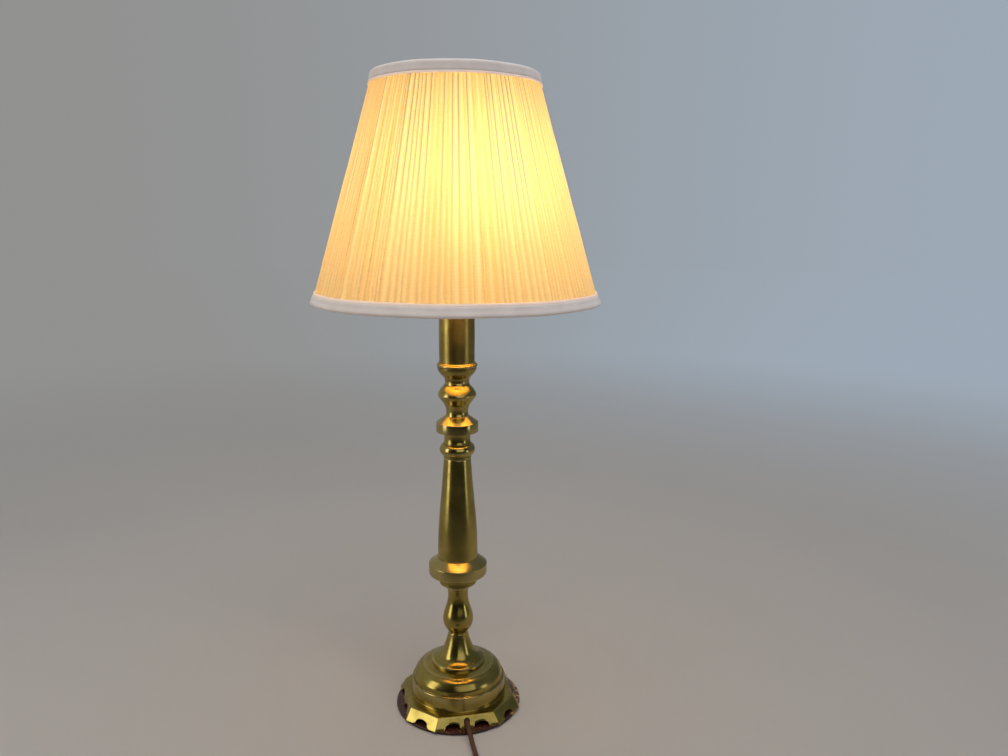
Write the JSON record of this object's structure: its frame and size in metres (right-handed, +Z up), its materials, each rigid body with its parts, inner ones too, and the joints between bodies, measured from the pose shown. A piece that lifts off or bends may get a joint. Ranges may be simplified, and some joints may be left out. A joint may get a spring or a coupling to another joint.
{
  "type": "table lamp",
  "caption": "Brass candlestick table lamp: a tapered column between two drum collars, a domed foot with scalloped edges, a pleated cone shade on a harp, and a brown lead with a plug.",
  "frame": {"origin": "centre of the base disc's underside, on the surface that the lamp stands on", "axes": "+Z up along the stem; -Y is the side that the lead leaves from; the harp lies in the XZ plane"},
  "size_m": [0.3048, 0.4059, 0.7054],
  "materials": {
    "aged_brass": "polished and lacquered, slightly darkened with age",
    "brown_metal": "dark red-brown enamel, half gloss",
    "harp_brass": "bright brass-plated wire and strap",
    "socket_brass": "thin spun brass, polished",
    "plated_steel": "zinc plated",
    "bulb_metal": "bright rolled screw base",
    "bulb_glass": "frosted, lit",
    "sleeve_paper": "fibre sleeve",
    "black_plastic": "moulded, half gloss",
    "shade_backing": "translucent white sheet that the cloth is mounted on",
    "shade_cloth": "fine knife pleats of thin off-white cloth, lit from inside",
    "shade_trim": "folded band of off-white cloth",
    "lead_brown": "brown flat twin flex",
    "plug_brown": "brown moulded plug"
  },
  "bodies": {
    "lamp": {"base_disc": "brown_metal", "foot_plate": "aged_brass", "foot_dome": "aged_brass", "pedestal": "aged_brass", "baluster": "aged_brass", "lower_collar": "aged_brass", "tapered_column": "aged_brass", "column_bead": "aged_brass", "upper_collar": "aged_brass", "knop": "aged_brass", "candle_cup": "aged_brass", "neck_tube": "aged_brass", "tube_cap": "aged_brass", "stem_rod": "plated_steel", "rod_nuts": "plated_steel", "rod_washer": "plated_steel", "harp_saddle": "harp_brass", "harp": "harp_brass", "harp_ferrules": "harp_brass", "socket_cap": "socket_brass", "socket_shell": "socket_brass", "socket_insulator": "sleeve_paper", "socket_body": "black_plastic", "socket_screw_shell": "socket_brass", "socket_contact": "socket_brass", "terminal_screws": "plated_steel", "bulb_glass": "bulb_glass", "bulb_base": "bulb_metal", "bulb_contact": "black_plastic", "bulb_stem": "bulb_glass", "bulb_filament": "plated_steel", "inner_lead": "lead_brown", "cord_run": "lead_brown", "cord_coil": "lead_brown", "cord_tail": "lead_brown", "plug_body": "plug_brown", "plug_blades": "socket_brass"},
    "switch": {"switch_shaft": "plated_steel", "switch_knob": "black_plastic"},
    "shade": {"shade_spider": "plated_steel", "shade_bottom_ring": "plated_steel", "shade_liner": "shade_backing", "shade_pleats": "shade_cloth", "shade_top_trim": "shade_trim", "shade_bottom_trim": "shade_trim"},
    "finial": {"finial": "aged_brass"}
  },
  "joints": [
    {"name": "switch_turn", "type": "hinge", "parent": "lamp", "child": "switch", "pos_m": [0, 0, 0.4879], "axis": [0, 1, 0], "continuous": true},
    {"name": "shade_swivel", "type": "hinge", "parent": "lamp", "child": "shade", "pos_m": [0, 0, 0.6765], "axis": [0, 0, 1], "continuous": true},
    {"name": "finial_turn", "type": "hinge", "parent": "lamp", "child": "finial", "pos_m": [0, 0, 0.6785], "axis": [0, 0, 1], "continuous": true}
  ]
}
